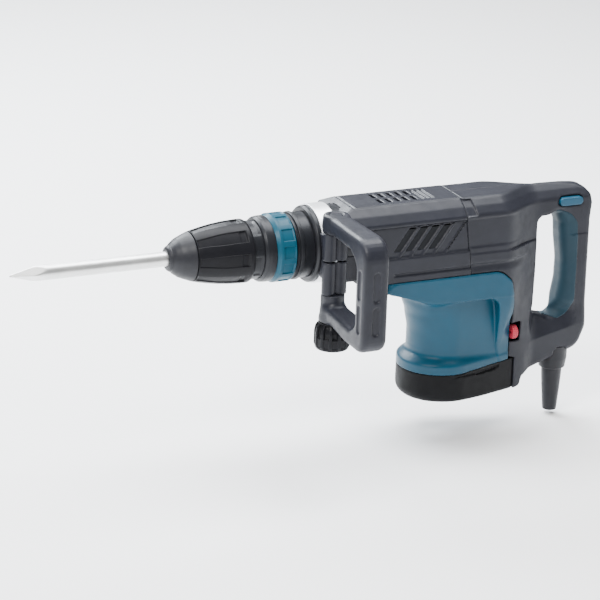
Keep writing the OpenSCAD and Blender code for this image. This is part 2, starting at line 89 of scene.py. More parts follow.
def soften(corners):
    """Outline of (u, v, radius) corners, each rounded by an arc."""
    points = []
    for i, (u, v, r) in enumerate(corners):
        here = np.array((u, v), float)
        to_last = np.array(corners[i - 1][:2], float) - here
        to_next = np.array(corners[(i + 1) % len(corners)][:2], float) - here
        to_last_len, to_next_len = np.hypot(*to_last), np.hypot(*to_next)
        to_last, to_next = to_last/to_last_len, to_next/to_next_len
        half = math.acos(np.clip(to_last @ to_next, -1, 1))/2
        if r <= 0 or half > 1.54:
            points.append((u, v))
            continue
        reach = min(r/math.tan(half), 0.48*to_last_len, 0.48*to_next_len)
        r = reach*math.tan(half)
        middle = here + (to_last + to_next)/np.hypot(*(to_last + to_next))*r/math.sin(half)
        start, end = here + to_last*reach - middle, here + to_next*reach - middle
        turn = math.atan2(start[0]*end[1] - start[1]*end[0], start @ end)
        for k in range(9):
            a = turn*k/8
            c, s = math.cos(a), math.sin(a)
            points.append((middle[0] + c*start[0] - s*start[1], middle[1] + s*start[0] + c*start[1]))
    return points


def box_2d(u, v, low, high, r=0.0):
    """Distance to a rectangle with rounded corners."""
    a = np.abs(u - (low[0] + high[0])/2) - (high[0] - low[0])/2 + r
    b = np.abs(v - (low[1] + high[1])/2) - (high[1] - low[1])/2 + r
    return np.hypot(np.maximum(a, 0), np.maximum(b, 0)) + np.minimum(np.maximum(a, b), 0) - r


def teardrop(x, y, big_x, big_r, tail_x, tail_r):
    """Distance in plan to the hull of two circles on the x axis."""
    length = tail_x - big_x
    slope = (big_r - tail_r)/length
    rise = math.sqrt(1 - slope*slope)
    side, along = np.abs(y), x - big_x
    lean = along*slope + side*rise
    t = along - side*slope/rise
    d = lean - big_r
    d = np.where(t < 0, np.hypot(along, side) - big_r, d)
    return np.where(t > length, np.hypot(along - length, side) - tail_r, d)


def meet(a, b, r=0.0):
    """Intersection with its edge rounded to radius r."""
    r = np.maximum(r, 1e-4)
    return np.minimum(np.maximum(a, b), -r) + np.hypot(np.maximum(a + r, 0), np.maximum(b + r, 0))


def join(a, b, r=0.0):
    """Union with its inner corner filled to radius r."""
    return -meet(-a, -b, r)


def cut(a, b, r=0.0):
    """a with b taken out."""
    return meet(a, -b, r)


def chamfer(a, b, size, r):
    """Intersection with a flat bevel of the given size and slightly rounded edges."""
    return meet(meet(a, b, r), (a + b + size)*math.sqrt(0.5), r)


def ease(value, start, end):
    """0 before start, 1 after end, smooth between."""
    t = np.clip((value - start)/(end - start), 0, 1)
    return t*t*(3 - 2*t)


def surface(field, low, high, step):
    """Vertices and quads of a field's zero surface, by surface nets and a projection."""
    low, high = np.array(low, float), np.array(high, float)
    counts = np.ceil((high - low)/step).astype(int) + 1
    axes = [low[i] + step*np.arange(counts[i]) for i in range(3)]
    grid = np.broadcast_to(field(axes[0][:, None, None], axes[1][None, :, None],
                                 axes[2][None, None, :]), counts).astype(float)
    total = np.zeros(tuple(counts - 1) + (3,))
    hits = np.zeros(tuple(counts - 1))
    edges = []
    for axis in range(3):
        first = [slice(None)]*3
        second = [slice(None)]*3
        first[axis], second[axis] = slice(0, -1), slice(1, None)
        f0, f1 = grid[tuple(first)], grid[tuple(second)]
        found = np.argwhere((f0 < 0) != (f1 < 0))
        v0, v1 = f0[tuple(found.T)], f1[tuple(found.T)]
        place = found.astype(float)
        place[:, axis] += v0/(v0 - v1)
        others = [i for i in range(3) if i != axis]
        for da in (0, -1):
            for db in (0, -1):
                cell = found.copy()
                cell[:, others[0]] += da
                cell[:, others[1]] += db
                ok = np.all((cell >= 0) & (cell < counts - 1), axis=1)
                index = tuple(cell[ok].T)
                np.add.at(total, index, place[ok])
                np.add.at(hits, index, 1)
        edges.append((axis, others, found, v0 < 0))
    cells = np.argwhere(hits > 0)
    number = np.full(hits.shape, -1)
    number[tuple(cells.T)] = np.arange(len(cells))
    verts = total[tuple(cells.T)]/hits[tuple(cells.T)][:, None]*step + low
    quads = []
    for axis, others, found, inward in edges:
        a, b = others
        ok = (found[:, a] > 0) & (found[:, b] > 0)
        ok &= (found[:, a] < counts[a] - 1) & (found[:, b] < counts[b] - 1)
        found, inward = found[ok], inward[ok]
        corner = []
        for da, db in ((-1, -1), (0, -1), (0, 0), (-1, 0)):
            cell = found.copy()
            cell[:, a] += da
            cell[:, b] += db
            corner.append(number[tuple(cell.T)])
        quad = np.stack(corner, 1)
        flip = inward if axis != 1 else ~inward
        quad[~flip] = quad[~flip][:, ::-1]
        quads.append(quad)
    start = verts.copy()
    for _ in range(4):
        x, y, z = verts.T
        value = field(x, y, z)
        slope = np.stack([field(x + 0.05, y, z) - field(x - 0.05, y, z),
                          field(x, y + 0.05, z) - field(x, y - 0.05, z),
                          field(x, y, z + 0.05) - field(x, y, z - 0.05)], 1)/0.1
        size = np.maximum((slope**2).sum(1), 0.2)
        verts = verts - np.clip(value/size, -step/2, step/2)[:, None]*slope
    verts = start + np.clip(verts - start, -step, step)
    return verts, np.concatenate(quads)


# ---------------------------------------------------------------- pieces
def piece(name, verts, faces, body, look, replaced=()):
    """A smooth mesh piece from millimetre vertices, on a body, with a material."""
    mesh = bpy.data.meshes.new(name)
    verts = np.asarray(verts, float)*MM
    if isinstance(faces, np.ndarray):
        mesh.vertices.add(len(verts))
        mesh.vertices.foreach_set("co", verts.ravel())
        mesh.loops.add(faces.size)
        mesh.loops.foreach_set("vertex_index", faces.ravel().astype(np.int32))
        mesh.polygons.add(len(faces))
        mesh.polygons.foreach_set("loop_start", np.arange(0, faces.size, 4, dtype=np.int32))
        mesh.update(calc_edges=True)
    else:
        mesh.from_pydata([tuple(v) for v in verts], [], faces)
    mesh.validate()
    mesh.shade_smooth()
    obj = bpy.data.objects.new(name, mesh)
    bpy.context.scene.collection.objects.link(obj)
    obj.data.materials.append(look["material"])
    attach(obj, body)
    if replaced:
        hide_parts(*replaced)
    return obj


def moulded(name, field, low, high, step, body, look, replaced=()):
    """A piece from a distance field."""
    verts, quads = surface(field, low, high, step)
    return piece(name, verts, quads, body, look, replaced)


def turned(name, stations, radius, body, look, replaced=(), turns=180, angles=None, place=None):
    """A closed ring surface about the striking axis.

    stations are (x, r) points round the section; radius(x, r, angle) may change r.
    """
    angles = np.linspace(0, 2*math.pi, turns, endpoint=False) if angles is None else angles
    stations = np.array(stations, float)
    x = np.repeat(stations[:, :1], len(angles), 1)
    r = np.repeat(stations[:, 1:], len(angles), 1)
    a = np.repeat(np.array(angles)[None, :], len(stations), 0)
    if radius is not None:
        r = radius(x, r, a)
    verts = np.stack([x, r*np.sin(a), r*np.cos(a)], -1).reshape(-1, 3)
    if place is not None:
        verts = place(verts)
    rows, columns = len(stations), len(angles)
    i, k = np.meshgrid(np.arange(rows), np.arange(columns), indexing="ij")
    ni, nk = (i + 1) % rows, (k + 1) % columns
    quads = np.stack([i*columns + k, ni*columns + k, ni*columns + nk, i*columns + nk], -1)
    return piece(name, verts, quads.reshape(-1, 4), body, look, replaced)


def section(corners, spacing=1.2):
    """Closed section from (x, r, corner radius), with points at an even spacing."""
    points = soften(corners)
    dense = []
    for (ax, ar), (bx, br) in zip(points, points[1:] + points[:1]):
        steps = max(1, int(math.hypot(bx - ax, br - ar)/spacing))
        dense += [(ax + (bx - ax)*k/steps, ar + (br - ar)*k/steps) for k in range(steps)]
    return dense


# ---------------------------------------------------------------- materials
class Nodes:
    """Small helper that adds and links shader nodes."""

    def __init__(self, name):
        self.material = bpy.data.materials.new(name)
        self.material.use_nodes = True
        self.tree = self.material.node_tree
        self.shader = self.tree.nodes["Principled BSDF"]
        self.place = self.add("ShaderNodeTexCoord").outputs["Object"]

    def add(self, kind, **values):
        node = self.tree.nodes.new(kind)
        for key, value in values.items():
            setattr(node, key, value)
        return node

    def link(self, source, target):
        self.tree.links.new(source, target)

    def noise(self, size, detail=4.0, roughness=0.55, stretch=(1, 1, 1)):
        """Noise with features of the given size in metres."""
        mapping = self.add("ShaderNodeMapping")
        mapping.inputs["Scale"].default_value = stretch
        self.link(self.place, mapping.inputs["Vector"])
        noise = self.add("ShaderNodeTexNoise")
        noise.inputs["Scale"].default_value = 1/size
        noise.inputs["Detail"].default_value = detail
        noise.inputs["Roughness"].default_value = roughness
        self.link(mapping.outputs["Vector"], noise.inputs["Vector"])
        return noise.outputs["Fac"]

    def ramp(self, source, low, high, start=0.3, end=0.7):
        """Linear map from source's start..end to low..high."""
        node = self.add("ShaderNodeMapRange")
        for key, value in (("From Min", start), ("From Max", end), ("To Min", low), ("To Max", high)):
            node.inputs[key].default_value = value
        self.link(source, node.inputs["Value"])
        return node.outputs["Result"]

    def blend(self, fac, first, second):
        """Colour between first and second; second may be a socket or a colour."""
        node = self.add("ShaderNodeMix", data_type="RGBA")
        self.link(fac, node.inputs["Factor"])
        for value, target in ((first, node.inputs[6]), (second, node.inputs[7])):
            if isinstance(value, tuple):
                target.default_value = value
            else:
                self.link(value, target)
        return node.outputs[2]

    def bump(self, height, distance, strength=1.0, under=None):
        node = self.add("ShaderNodeBump")
        node.inputs["Distance"].default_value = distance
        node.inputs["Strength"].default_value = strength
        self.link(height, node.inputs["Height"])
        if under is not None:
            self.link(under, node.inputs["Normal"])
        return node.outputs["Normal"]

    def edges(self, start=0.52, end=0.6):
        """1 on sharp outer edges, 0 elsewhere."""
        geometry = self.add("ShaderNodeNewGeometry")
        return self.ramp(geometry.outputs["Pointiness"], 0.0, 1.0, start, end)


def tint(colour, factor):
    return tuple(min(1.0, c*factor) for c in colour) + (1.0,)


def plastic(name, slot, colour, rough=(0.38, 0.5), grain=0.0007, depth=0.00005, wear=0.25,
            mottle=0.14, coat=0.0, sheen=0.0, gloss=0.24):
    """Moulded plastic: fine spark-eroded grain, slow colour drift, paler worn edges."""
    n = Nodes(name)
    drift = n.noise(0.035, 3.0)
    body = n.blend(n.ramp(drift, 0.0, 1.0), tint(colour, 1 - mottle), tint(colour, 1 + mottle))
    scuffs = n.noise(0.004, 6.0, 0.7, stretch=(0.35, 1, 1))
    edge = n.add("ShaderNodeMath", operation="MULTIPLY")
    n.link(n.edges(), edge.inputs[0])
    n.link(n.ramp(scuffs, 0.0, wear, 0.42, 0.7), edge.inputs[1])
    pale = tuple(c + (0.35 - c)*0.5 for c in colour) + (1.0,)
    n.link(n.blend(edge.outputs[0], body, pale), n.shader.inputs["Base Color"])
    n.link(n.ramp(n.noise(0.012, 5.0), rough[0], rough[1]), n.shader.inputs["Roughness"])
    n.link(n.bump(n.noise(grain, 2.0), depth, 0.6), n.shader.inputs["Normal"])
    n.shader.inputs["IOR"].default_value = 1.5
    n.shader.inputs["Specular IOR Level"].default_value = gloss
    n.shader.inputs["Coat Weight"].default_value = coat
    n.shader.inputs["Coat Roughness"].default_value = 0.2
    n.shader.inputs["Sheen Weight"].default_value = sheen
    n.shader.inputs["Sheen Roughness"].default_value = 0.5
    return {"material": n.material, "slot": slot}


def metal(name, slot, colour, rough=(0.22, 0.36), brush=(1, 1, 1), grain=0.0012, depth=0.00002,
          stain=0.1, metallic=1.0, coat=0.0, gloss=0.5):
    """Metal with directional tool marks, faint staining and paler rubbed edges."""
    n = Nodes(name)
    stains = n.noise(0.018, 5.0, 0.6)
    body = n.blend(n.ramp(stains, 0.0, 1.0), tint(colour, 1 - stain), tint(colour, 1 + stain*0.5))
    n.link(n.blend(n.ramp(n.edges(), 0.0, 0.35, 0.0, 1.0), body, tint(colour, 1.25)),
           n.shader.inputs["Base Color"])
    marks = n.noise(grain, 4.0, 0.65, stretch=brush)
    n.link(n.ramp(marks, rough[0], rough[1]), n.shader.inputs["Roughness"])
    n.link(n.bump(marks, depth, 0.5), n.shader.inputs["Normal"])
    n.shader.inputs["Metallic"].default_value = metallic
    n.shader.inputs["Specular IOR Level"].default_value = gloss
    n.shader.inputs["Coat Weight"].default_value = coat
    n.shader.inputs["Coat Roughness"].default_value = 0.15
    return {"material": n.material, "slot": slot}


BLACK = (0.013, 0.014, 0.020)
black = plastic("moulded_black", "black_plastic", BLACK, rough=(0.36, 0.48))
rubber = plastic("nose_rubber", "black_rubber", (0.014, 0.0145, 0.018), rough=(0.36, 0.52),
                 grain=0.0005, wear=0.12)
cover_black = plastic("cover_black", "black_plastic", (0.007, 0.0072, 0.009), rough=(0.34, 0.46),
                      gloss=0.12)
# The base cover gets a darker copy of the black plastic, standing in for the shade on the lower parts:
# painted shade.
base_black_painted_shade = plastic("base_black_painted_shade", "black_plastic", (0.005, 0.0052, 0.006), rough=(0.42, 0.55),
                     gloss=0.1)
collar_paint = metal("collar_paint", "collar_paint", (0.012, 0.013, 0.016), rough=(0.3, 0.42),
                     metallic=0.2, grain=0.0009, depth=0.00003, gloss=0.25)
barrel_paint = metal("barrel_paint", "barrel_alloy", (0.013, 0.014, 0.017), rough=(0.3, 0.45),
                     metallic=0.2, grain=0.0009, depth=0.00004, gloss=0.25)
teal = plastic("moulded_teal", "teal_plastic", (0.003, 0.050, 0.088), rough=(0.34, 0.44),
               wear=0.18, mottle=0.06, depth=0.00003)
ring_teal = plastic("ring_teal", "teal_ring", (0.007, 0.062, 0.098), rough=(0.3, 0.4),
                    wear=0.2, mottle=0.05, depth=0.00002, gloss=0.16)
grip_teal = plastic("grip_teal", "teal_rubber", (0.005, 0.024, 0.038), rough=(0.48, 0.6),
                    wear=0.1, mottle=0.06, sheen=0.05)
lever_teal = plastic("lever_teal", "teal_plastic", (0.010, 0.062, 0.108), rough=(0.3, 0.4),
                     wear=0.2, mottle=0.05)
dial_red = plastic("dial_red", "red_dial", (0.42, 0.028, 0.05), rough=(0.25, 0.35), wear=0.2,
                   coat=0.15)
bit_steel = metal("bit_steel", "bright_steel", (0.78, 0.78, 0.77), rough=(0.3, 0.46),
                  brush=(1, 12, 12), grain=0.004, depth=0.00003, stain=0.12)
band_steel = metal("band_steel", "bright_steel", (0.93, 0.94, 0.96), rough=(0.3, 0.44),
                   brush=(14, 1, 1), grain=0.006, stain=0.08, metallic=0.75)


# ---------------------------------------------------------------- bit
def bit_field(x, y, z):
    shank = np.hypot(y, z) - 9
    turn = math.sqrt(0.5)
    a, b = (y + z)*turn, (y - z)*turn
    along = x + 196
    taper = 0.185
    flats = (np.maximum(np.abs(a), np.abs(b)) - 1.0 - along*taper)/math.hypot(1, taper)
    d = meet(meet(shank, flats, 0.5), -along, 0.6)
    return meet(d, x - 92, 0.8)


def make_bit():
    def field(x, y, z):
        d = bit_field(x, y, z)
        slot = box_2d(x, y, (55.5, -4.3), (79, 4.3), 4)
        return cut(d, meet(slot, 6.4 - np.abs(z), 0.2), 0.4)
    moulded("bit", field, (-198, -11, -11), (94, 11, 11), 0.9, "chisel", bit_steel, ["chisel"])


# ---------------------------------------------------------------- chuck
def make_nose_cap():
    corners = [(0, 9.3, 0.5), (0, 11.4, 0.8), (1.2, 14.2, 1.5), (3.2, 15.6, 0.6), (4.4, 15.7, 0.6),
               (8, 19.2, 6), (14, 23.4, 12), (20, 26.0, 12), (26, 28.3, 14), (30.1, 29.9, 0.8),
               (30.1, 20.5, 0.5), (24, 20.5, 2), (16, 15, 2), (10, 14.2, 1), (6.5, 9.3, 1)]
    turned("nose_cap_skin", section(corners, 1.0), None, "release_cover", rubber, ["nose_cap"])


def make_release_cover():
    corners = [(30.9, 20, 0.5), (30.9, 30.0, 0.7), (37, 31.6, 10), (48, 33.9, 20), (62, 36.2, 20),
               (76, 37.7, 20), (90, 38.4, 20), (98, 38.5, 3), (101, 37.2, 1.2), (101, 35.7, 0.5),
               (91, 35.7, 0.5), (91, 22.2, 0.5), (68, 22.2, 0.5), (68, 14.1, 0.5), (62.7, 14.1, 0.5),
               (49.5, 20, 0.5)]
    stations = section(corners, 0.9)

    pitch = 2*math.pi/COVER_POCKETS

    def recess(x, r, a):
        local = (a + pitch/2) % pitch - pitch/2
        across = np.abs(local)*r
        half = 5.6 + 2.4*ease(x, 32, 70)
        end = ease(93.2 - x, 0, 0.8)
        side = ease(half - across, -0.1, 0.75)*ease(x, 31.5, 33)
        scoop = 1.5 + 0.9*ease(x, 84.2, 85.2) + 0.3*ease(x, 50, 80)
        flat = r*(1 - np.cos(np.minimum(across, half)/r))
        return r - np.where(r > 29.5, side*end*(scoop - flat*0.6), 0)

    half = np.concatenate([np.linspace(0, 0.17, 6)[:-1], np.linspace(0.17, 0.305, 22)[:-1],
                           np.linspace(0.305, 0.5, 6)])
    local = np.concatenate([-half[:0:-1], half[:-1]])
    angles = np.concatenate([(i + 0.5 + local)*pitch for i in range(COVER_POCKETS)])
    turned("release_cover_skin", stations, recess, "release_cover", cover_black, ["release_cover"],
           angles=angles)


def make_neck():
    corners = [(99, 21.5, 0.3), (99, 35.3, 0.4), (128, 35.3, 0.4), (128, 29.8, 0.3),
               (175.8, 29.8, 0.3), (175.8, 21.5, 0.3)]

    def flats(x, r, a):
        pitch = math.pi/2
        local = np.abs((a + pitch/2 + math.radians(20)) % pitch - pitch/2)
        dent = 1.5*ease(0.42 - local, 0, 0.05)*ease(112 - x, 0, 2)
        return np.where(r > 33, r - dent, r)
    turned("neck_sleeve_skin", section(corners, 1.2), flats, "tool_holder", collar_paint,
           ["neck_sleeve"], turns=240)
    corners = [(113.5, 35.35, 0.3), (113.5, 37.2, 1.2), (116.5, 39.4, 2.2), (121, 40.0, 1.2),
               (127.3, 40.0, 1.2), (127.8, 38.6, 0.3), (127.8, 35.35, 0.2)]
    turned("ring_flange_skin", section(corners, 0.6), None, "change_ring", collar_paint,
           ["ring_flange"])


def make_change_ring():
    corners = [(128.05, 35.4, 0.3), (128.05, 38.8, 0.5), (132.6, 41.8, 1.0), (151.9, 41.8, 0.8),
               (152.8, 40.8, 0.4), (152.8, 29.9, 0.3), (134, 29.9, 0.3), (134, 35.4, 0.3)]
    stations = section(corners, 0.6)
    pitch = 2*math.pi/RING_POCKETS

    def pockets(x, r, a):
        local = np.abs((a + math.radians(8)) % pitch - pitch/2)*41.8
        inside = np.minimum(7.6 - local, np.minimum(x - 136.2, 150.8 - x))
        return np.where(r > 41, r - 1.4*ease(inside, -0.25, 0.35), r)
    side = np.array([-10.94, -8.6, -8.0, -7.8, -7.6, -7.4, -7.2, -6.4, -3, 0, 3, 6.4, 7.2, 7.4, 7.6,
                     7.8, 8.0, 8.6])/41.8
    angles = np.concatenate([i*pitch + side for i in range(RING_POCKETS)])
    angles += pitch/2 - math.radians(8)
    turned("change_ring_skin", stations, pockets, "change_ring", ring_teal, ["change_ring"],
           angles=angles)


def make_barrel():
    corners = [(155, 29.9, 0.3), (155, 38.2, 0.5), (158, 38.2, 0.4), (158.3, 41.0, 0.9),
               (163, 41.5, 0.9), (163.4, 40, 0.4), (176.9, 40, 0.4), (176.9, 33.5, 0.3),
               (168, 33.5, 0.3), (168, 29.9, 0.3)]
    turned("barrel_collar_skin", section(corners, 0.8), None, "housing", collar_paint,
           ["barrel_collar"])
    corners = [(177.1, 21, 0.3), (177.1, 44.2, 1.2), (179.6, BARREL_R, 1.6), (207.4, BARREL_R, 0.8),
               (207.4, 44, 0.4), (232, 44, 0.5), (232, 21, 0.3)]
    turned("barrel_skin", section(corners, 1.2), None, "housing", barrel_paint, ["barrel"])
    corners = [(184.5, 46.55, 0.2), (184.5, 48.2, 0.5), (206.5, 48.2, 0.5), (206.5, 46.55, 0.2)]
    turned("clamp_band_skin", section(corners, 1.2), None, "handle_clamp", band_steel,
           ["clamp_band"])


# ---------------------------------------------------------------- side handle
def post_field(x, y, r=8.4, apart=7.2):
    """Two rounded lobes of the handle's post, side by side along x."""
    return join(np.hypot(x - POST_X - apart, y - POST_Y) - r,
                np.hypot(x - POST_X + apart, y - POST_Y) - r, 1.2)


def from_post(x, y):
    """Distance from the post's own axis."""
    return np.hypot(x - POST_X, y - POST_Y)


def hanging(at_x, at_y):
    """Placer that stands a turned piece on end at (at_x, at_y), its x axis pointing down."""
    return lambda v: np.stack([v[:, 1] + at_x, v[:, 2] + at_y, -v[:, 0]], 1)


def make_jaws():
    def jaw(x, y, z, low, high, web_low, web_high):
        d = meet(post_field(x, y), np.maximum(low - z, z - high), 1.0)
        web = np.maximum(np.abs(x - POST_X) - 11, np.maximum(y + 36, POST_Y - y))
        web = np.maximum(web, np.maximum(web_low - z, z - web_high))
        d = join(d, web, 3)
        return cut(d, np.hypot(y, z) - 48.25, 0.4)
    moulded("upper_clamp_jaw_skin", lambda x, y, z: jaw(x, y, z, -2, 32, -2, 26),
            (172, -74, -4), (212, -34, 34), 1.1, "handle_clamp", black, ["upper_clamp_jaw"])
    moulded("lower_clamp_jaw_skin", lambda x, y, z: jaw(x, y, z, -44.2, -4, -28, -4),
            (172, -74, -47), (212, -34, -2), 1.1, "handle_clamp", black, ["lower_clamp_jaw"])


LOOP_OUT = [(-46, GRIP_TOP, 15), (-179, GRIP_TOP, 26), (-179, GRIP_LOW - 7, 20),
            (-120, GRIP_LOW - 5, 60), (-80, GRIP_LOW, 30), (-46, GRIP_LOW, 10)]
LOOP_IN = [(-60, 33, 0), (-132, 33, 6), (-150, 22, 16), (-151, -54, 10), (-140, -61, 10),
           (-60, -57, 0)]


def grip_field(x, y, z):
    loop = cut(outline(soften(LOOP_OUT), y, z), outline(soften(LOOP_IN), y, z), 5)
    half = 16.3 - 1.6*ease(y, -140, -80)
    thick = np.abs(x - POST_X) - half
    bar = chamfer(loop, thick, 3.6, 3.2)
    bar = meet(bar, y - POST_Y - 4, 0)
    top = meet(from_post(x, y) - 15.5, np.maximum(32.4 - z, z - GRIP_TOP), 2.5)
    flare = 4.5*ease(-z, 64, 77)
    leg = join(post_field(x, y, 8.2, 5.4), from_post(x, y) - 12.6 - flare, 1.5)
    leg = meet(leg, np.maximum(GRIP_LOW - z, z + 44.8), 0.8)
    d = meet(join(join(bar, top, 5), leg, 7), z - GRIP_TOP, 1.5)
    jaw_room = np.maximum(from_post(x, y) - 17.5, np.maximum(-44.6 - z, z - 32.3))
    d = cut(d, jaw_room, 0.6)
    centre = -165
    for low, high in ((-19, 18), (-60, -25)):
        for offset in (-16.5, 16.5):
            oval = box_2d(y - centre, z, (-4.2, low), (4.2, high), 4.2)
            d = cut(d, meet(oval, np.abs(x - POST_X - offset) - 1.8, 0.6), 0.9)
        oval = box_2d(x - POST_X, z, (-4.2, low), (4.2, high), 4.2)
        d = cut(d, meet(oval, np.abs(y + 179) - 1.8, 0.6), 0.9)
    return cut(d, meet(from_post(x, y) - 8.5, GRIP_TOP - 1.5 - z, 0.4), 0.5)


def make_side_grip():
    moulded("side_grip_skin", grip_field, (172, -182, -89), (212, -43, 58), 1.35, "side_grip",
            black, ["side_grip"])
    stud = section([(-GRIP_TOP + 0.6, 0.01, 0), (-GRIP_TOP + 0.6, 7.6, 0.8),
                    (-GRIP_TOP + 4, 7.8, 0.4), (-GRIP_TOP + 4, 0.01, 0)], 0.8)
    turned("grip_cap", stud, None, "side_grip", black, turns=48, place=hanging(POST_X, POST_Y))


def make_knob():
    corners = [(78.4, 4.2, 0.3), (78.4, 16.5, 1.5), (85, 20.8, 4), (91, 22, 6), (107, 22, 4),
               (113, 19.5, 2.5), (113, 12, 1.0), (111, 11, 1.0), (111, 0.01, 0),
               (95, 0.01, 0), (95, 4.2, 0.3)]
    pitch = 2*math.pi/KNOB_FLUTES

    def flutes(x, r, a):
        local = np.abs(a % pitch - pitch/2)*22
        window = 4.6*ease(x, 80.5, 81.5)*(1 - ease(x, 96.5, 98.0))
        flute = 1.6*ease(x, 97.5, 99)*ease(109.5 - x, 0, 1.5)
        deep = (window + flute)*ease(3.6 - local, -0.4, 0.6)
        return np.where(r > 15.5, np.maximum(r - deep, 14), r)
    side = np.array([-5.76, -4.6, -4.2, -3.9, -3.5, -3.1, -2.6, 0, 2.6, 3.1, 3.5, 3.9, 4.2, 4.6])/22
    angles = np.concatenate([i*pitch + side for i in range(KNOB_FLUTES)]) + pitch/2
    turned("clamp_knob_skin", section(corners, 0.9), flutes, "clamp_knob", cover_black,
           ["clamp_knob"], angles=angles, place=hanging(POST_X, POST_Y))


# ---------------------------------------------------------------- housing
SEAM_TILT = 0.115
ROOF_PLAN = [(208.6, -24, 8), (212, -34, 8), (229, -50, 8), (374.6, -50, 0.5), (374.6, 50, 0.5),
             (229, 50, 8), (212, 34, 8), (208.6, 24, 8)]
ROOF_SECTION = [(-12, ROOF_Z, 0), (26.5, ROOF_Z, 12), (40, 38.5, 16), (50, 28.5, 6), (50, 24.6, 0.6),
                (-12, 24.6, 0)]


def seam_x(z):
    """The joint between the crank cover and the rear shells leans a little."""
    return 375 - SEAM_TILT*(z - 24.5)


def roof_field(x, y, z):
    side = np.abs(y)
    hood = outline(soften(ROOF_SECTION), side, z)
    d = meet(hood, outline(soften(ROOF_PLAN), x, y), 1.5)
    d = meet(d, (z - ROOF_Z + 0.36*(231 - x))*0.94, 1.2)
    groove = np.maximum(np.abs(side - 28) - 0.6, 46.0 - z)
    d = cut(d, np.maximum(groove, 233 - x), 0.3)
    lip = np.maximum(np.abs(x - 232.6) - 0.5, np.maximum(46.3 - z, side - 28))
    d = cut(d, lip, 0.2)
    d = cut(d, np.maximum(np.maximum(side - 26, z - 42.5), np.maximum(240 - x, x - 370)), 0)
    d = cut(d, np.maximum(np.maximum(side - 42, z - 29), np.maximum(236 - x, x - 371)), 0)
    d = cut(d, np.maximum(np.hypot(y, z) - 44.1, x - 236), 0)
    pitch = 11.3
    row = np.clip(np.round((x - 274)/pitch), 0, 4)
    slot = box_2d(x - 274 - row*pitch, side, (-2.4, 2.2), (2.4, 18), 2.0)
    d = cut(d, np.maximum(slot, 30 - z), 0.5)
    row = np.clip(np.round((x - 329)/6.6), 0, 2)
    blind = box_2d(x - 329 - row*6.6, side, (-1.3, -4), (1.3, 18), 1.2)
    return cut(d, np.maximum(blind, 45.6 - z), 0.4)


def crank_field(x, y, z):
    side = np.abs(y)
    ledge = ease(-z, 13.0, 16.5)
    half = 47.2 + 2.9*ledge - 0.5*ease(z, -10, 24)
    groove = ease(-z, 33.6, 34.6)*(1 - ease(-z, 37.4, 38.4))*ease(x, 276, 281)
    half = half - 1.8*groove
    d = meet(side - half, np.maximum(z - 24.3, -45.9 - z), 0.8)
    d = meet(d, np.maximum(229 + 0.1*(24 - z) - x, x - seam_x(z) + 0.2), 1.2)
    nose = meet(np.maximum(side - 44, 212 - x), np.maximum(z - 24, -40 - z), 3)
    d = join(d, np.maximum(nose, x - 232), 2)
    tray = meet(side - 46, np.maximum(-61.5 - z, np.maximum(262 - x, x - 300)), 2)
    d = join(d, tray, 1.5)
    d = cut(d, np.maximum(np.hypot(y, z) - 44.1, x - 240), 0.3)
    lean = 0.72
    along = x - lean*z
    pitch = 15.6
    number = np.clip(np.round((along - 287)/pitch), 0, 3)
    local = along - 287 - number*pitch
    slot = box_2d(local, z, (-4.6, -0.5), (4.6, 21.5), 1.0)
    d = cut(d, np.maximum(slot, 41 - side), 0.5)
    scoop = box_2d(local, z, (-4.6, -7), (4.6, 3), 1.0)
    floor = 41 + 0.75*(-z)
    d = cut(d, np.maximum(scoop, floor - side), 0.5)
    number = np.clip(np.round((along - 294.8)/pitch), 0, 4)
    local = along - 294.8 - number*pitch
    rib = meet(box_2d(local, z, (-1.7, -15.5), (1.7, 22), 1.2), np.abs(side - 46.5) - 1.9, 1.0)
    d = join(d, rib, 0.5)
    last = box_2d(along - 357.5, z, (-0.9, -10), (0.9, 22), 0.8)
    return cut(d, np.maximum(last, 45.6 - side), 0.3)


# ---------------------------------------------------------------- motor end
PANEL = [(272.2, -53, 3), (275, -60.5, 3), (306, -70, 30), (337, -77.5, 30), (385, -79.5, 40),
         (423, -80.5, 15), (427, -108, 30), (430, -150, 10), (438, -176, 0), (470, -176, 0),
         (470, -40, 0), (300, -40, 0), (284, -46.4, 12)]
MOTOR_SIDE = [(262, -46.4, 0), (424, -46.4, 24), (440.3, -60, 18), (446, -86, 20),
              (450.4, -122, 30), (450.4, -190, 0), (262, -190, 0)]
MOTOR_PLAN = [(272, -51, 4), (440, -51, 20), (452, -46, 10), (452, 46, 10), (440, 51, 20),
              (272, 51, 4)]


def foot_plan(x, y):
    return teardrop(x, y, 368, 51.8, 446, 30)


def flange_low(x):
    """Underside of the flange at the side, dropping from the nose to the arch."""
    return -79.5 + 19.5*ease(337 - x, 0, 62)


def motor_field(x, y, z):
    side = np.abs(y)
    front = 1 - ease(x, 332, 374)
    waist = teardrop(x, y, 370, 42.5, 420, 35)
    waist = waist - (3.5*ease(z, -128, -104) + 5*ease(z, -106, -86))*front
    waist = np.maximum(waist, np.maximum(z + 62, BASE_Z - z))
    drop = ease(-z, 78, 156)
    head = outline(soften(MOTOR_PLAN), x, y)
    skin = head*(1 - drop) + foot_plan(x, y)*drop
    flange = meet(head, flange_low(x) - z, 1.3)
    post = np.maximum(outline(soften(PANEL), x, z), 26 - side)
    post = meet(post, skin, 1.3)
    top = foot_plan(x, y) + 13*ease(z, -164, -150)
    foot = np.maximum(top, z + 148)
    d = join(waist, flange, 5 + 7*front)
    d = join(d, post, 2.2)
    d = join(d, foot, 3.0)
    d = meet(d, outline(soften(MOTOR_SIDE), x, z), 1.4)
    floor = BASE_Z + 0.15 + seam_rise(x)
    core = np.maximum(teardrop(x, y, 370, 38.5, 418, 31), np.maximum(z + 56, -180 - z))
    return np.maximum(cut(d, core, 0), floor - z)


def seam_rise(x):
    """The joint with the base climbs slightly towards the rear."""
    return 4.5*ease(x, 345, 480)


